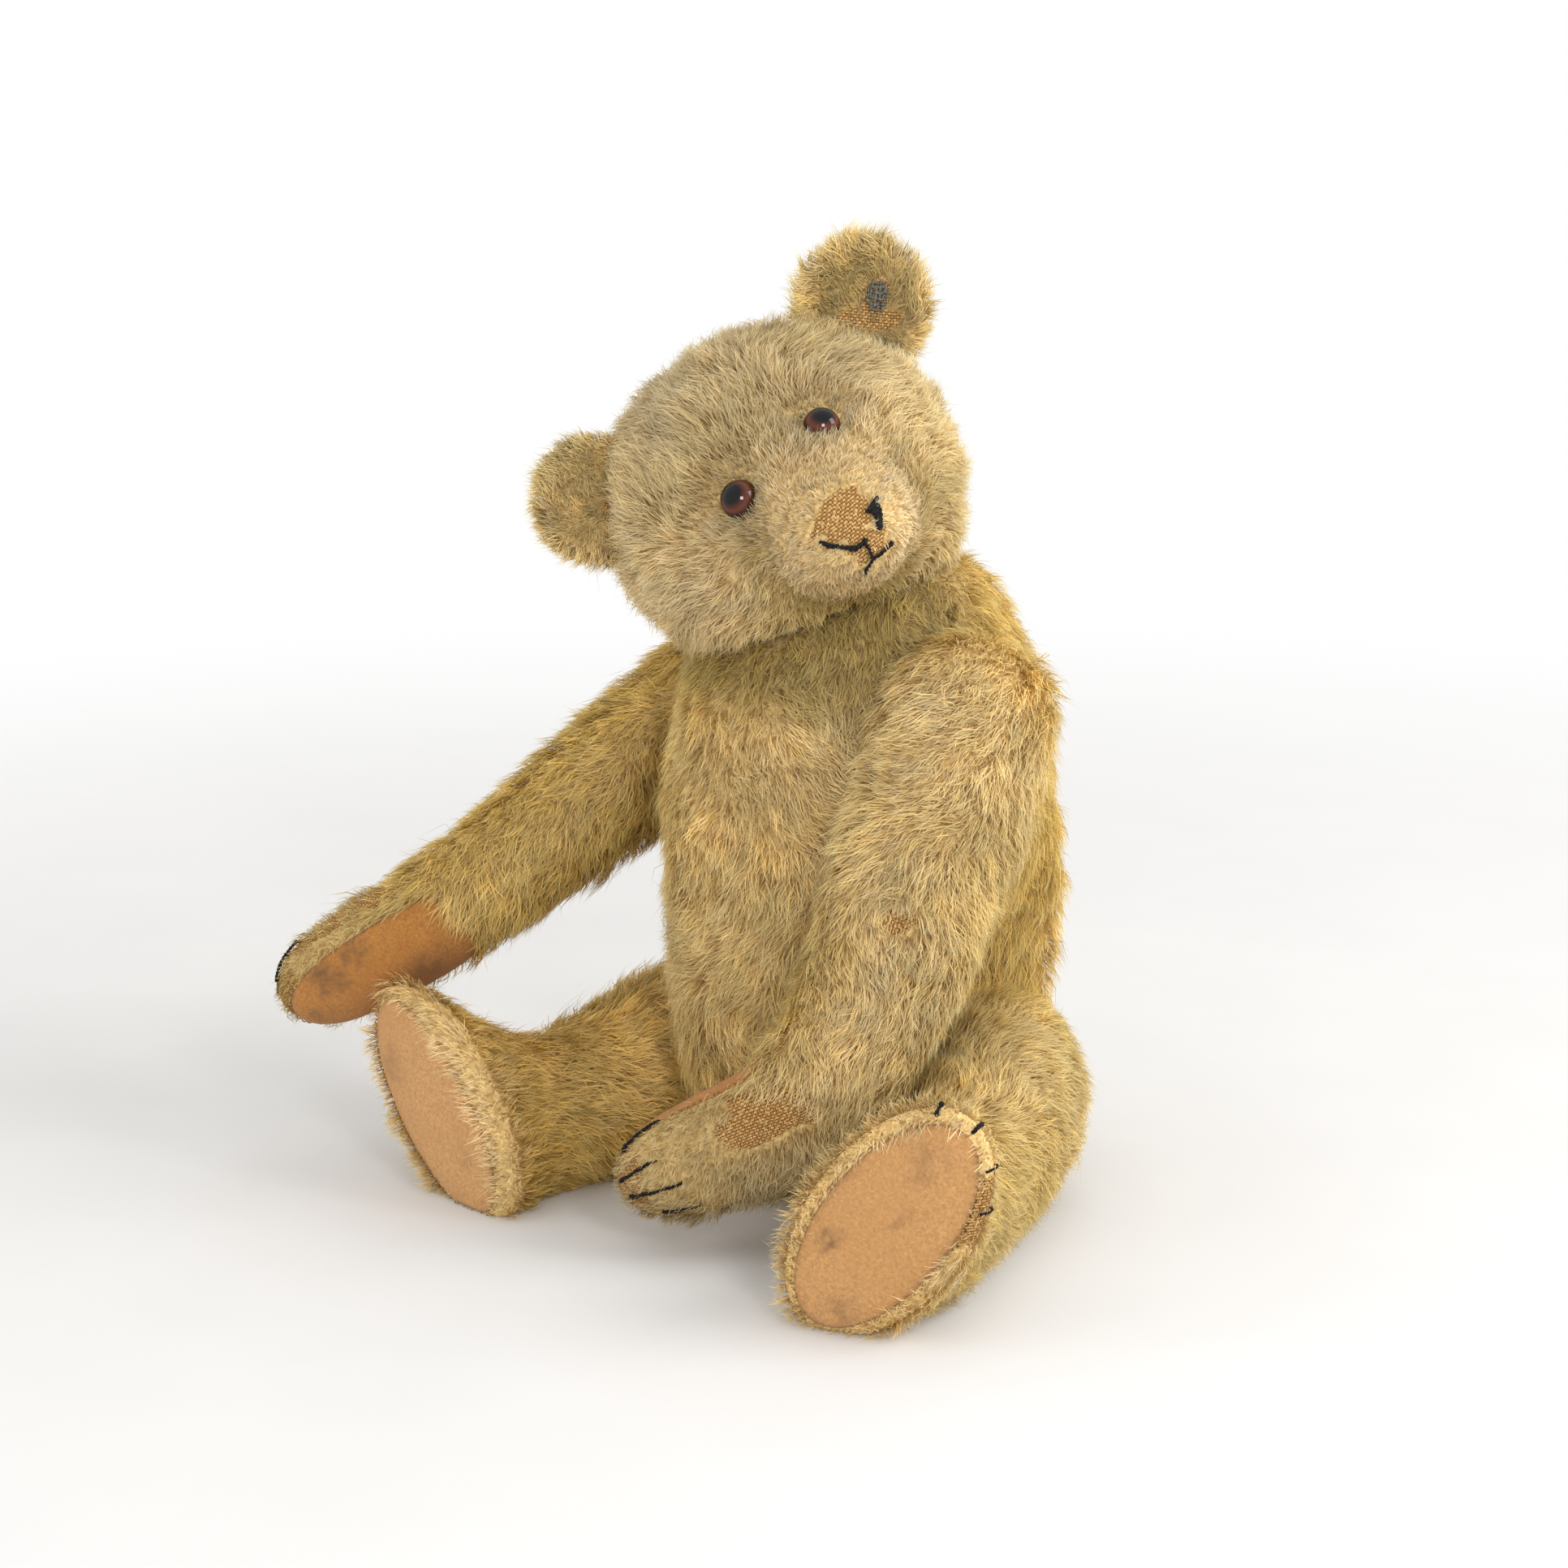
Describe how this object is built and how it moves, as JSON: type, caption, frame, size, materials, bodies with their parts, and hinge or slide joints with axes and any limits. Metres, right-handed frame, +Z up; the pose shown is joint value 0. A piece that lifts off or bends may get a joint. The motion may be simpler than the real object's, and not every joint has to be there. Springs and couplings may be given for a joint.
{
  "type": "jointed teddy bear",
  "caption": "Threadbare mohair teddy bear sitting with its head leant over: hard stuffed, with turning head, arms and legs, felt pads, glass eyes and worn embroidery.",
  "frame": {"origin": "middle of the flat seat, on the table", "axes": "-Y is the way the bear faces, +X is to its left and +Z is up"},
  "size_m": [0.2662, 0.1904, 0.2806],
  "materials": {
    "mohair": "worn long pile on a woven back",
    "felt": "matted wool felt",
    "wood_wool": "packed fine shavings",
    "hardboard": "pressed board",
    "steel": "dull wire and washers",
    "eye": "polished, brown with a black pupil",
    "thread": "twisted black cotton"
  },
  "bodies": {
    "torso": {"torso_skin": "mohair", "torso_stuffing": "wood_wool", "neck_disc_torso": "hardboard", "neck_washer_torso": "steel", "neck_pin": "steel", "shoulder_left_disc_torso": "hardboard", "shoulder_left_washer_torso": "steel", "shoulder_left_pin": "steel", "shoulder_right_disc_torso": "hardboard", "shoulder_right_washer_torso": "steel", "shoulder_right_pin": "steel", "hip_left_disc_torso": "hardboard", "hip_left_washer_torso": "steel", "hip_left_pin": "steel", "hip_right_disc_torso": "hardboard", "hip_right_washer_torso": "steel", "hip_right_pin": "steel"},
    "head": {"head_skin": "mohair", "head_stuffing": "wood_wool", "eye_left": "eye", "ear_left": "mohair", "eye_right": "eye", "ear_right": "mohair", "nose_thread_left": "thread", "nose_thread_right": "thread", "mouth_thread": "thread", "neck_disc_limb": "hardboard", "neck_washer_limb": "steel"},
    "arm_left": {"arm_left_skin": "mohair", "arm_left_paw_pad": "felt", "arm_left_stuffing": "wood_wool", "arm_left_claw_1": "thread", "arm_left_claw_2": "thread", "arm_left_claw_3": "thread", "arm_left_claw_4": "thread", "shoulder_left_disc_limb": "hardboard", "shoulder_left_washer_limb": "steel"},
    "arm_right": {"arm_right_skin": "mohair", "arm_right_paw_pad": "felt", "arm_right_stuffing": "wood_wool", "arm_right_claw_1": "thread", "arm_right_claw_2": "thread", "arm_right_claw_3": "thread", "arm_right_claw_4": "thread", "shoulder_right_disc_limb": "hardboard", "shoulder_right_washer_limb": "steel"},
    "leg_left": {"leg_left_skin": "mohair", "leg_left_foot_pad": "felt", "leg_left_stuffing": "wood_wool", "leg_left_claw_1": "thread", "leg_left_claw_2": "thread", "leg_left_claw_3": "thread", "leg_left_claw_4": "thread", "hip_left_disc_limb": "hardboard", "hip_left_washer_limb": "steel"},
    "leg_right": {"leg_right_skin": "mohair", "leg_right_foot_pad": "felt", "leg_right_stuffing": "wood_wool", "hip_right_disc_limb": "hardboard", "hip_right_washer_limb": "steel"}
  },
  "joints": [
    {"name": "neck_turn", "type": "hinge", "parent": "torso", "child": "head", "pos_m": [-0.0015, 0.0016, 0.179], "axis": [-0.3553, -0.1337, 0.9251], "range_deg": [0, 160]},
    {"name": "shoulder_left_turn", "type": "hinge", "parent": "torso", "child": "arm_left", "pos_m": [0.0405, -0.006, 0.149], "axis": [0.9585, -0.2524, 0.1322], "range_deg": [-75, 0]},
    {"name": "shoulder_right_turn", "type": "hinge", "parent": "torso", "child": "arm_right", "pos_m": [-0.0415, 0.0045, 0.15], "axis": [0.9355, -0.3532, 0], "range_deg": [-35, 0]},
    {"name": "hip_left_turn", "type": "hinge", "parent": "torso", "child": "leg_left", "pos_m": [0.0337, -0.0033, 0.0297], "axis": [0.9258, 0.3779, 0], "range_deg": [0, 90]},
    {"name": "hip_right_turn", "type": "hinge", "parent": "torso", "child": "leg_right", "pos_m": [-0.0324, 0.0027, 0.0297], "axis": [0.9892, -0.044, 0.14], "range_deg": [0, 90]}
  ]
}
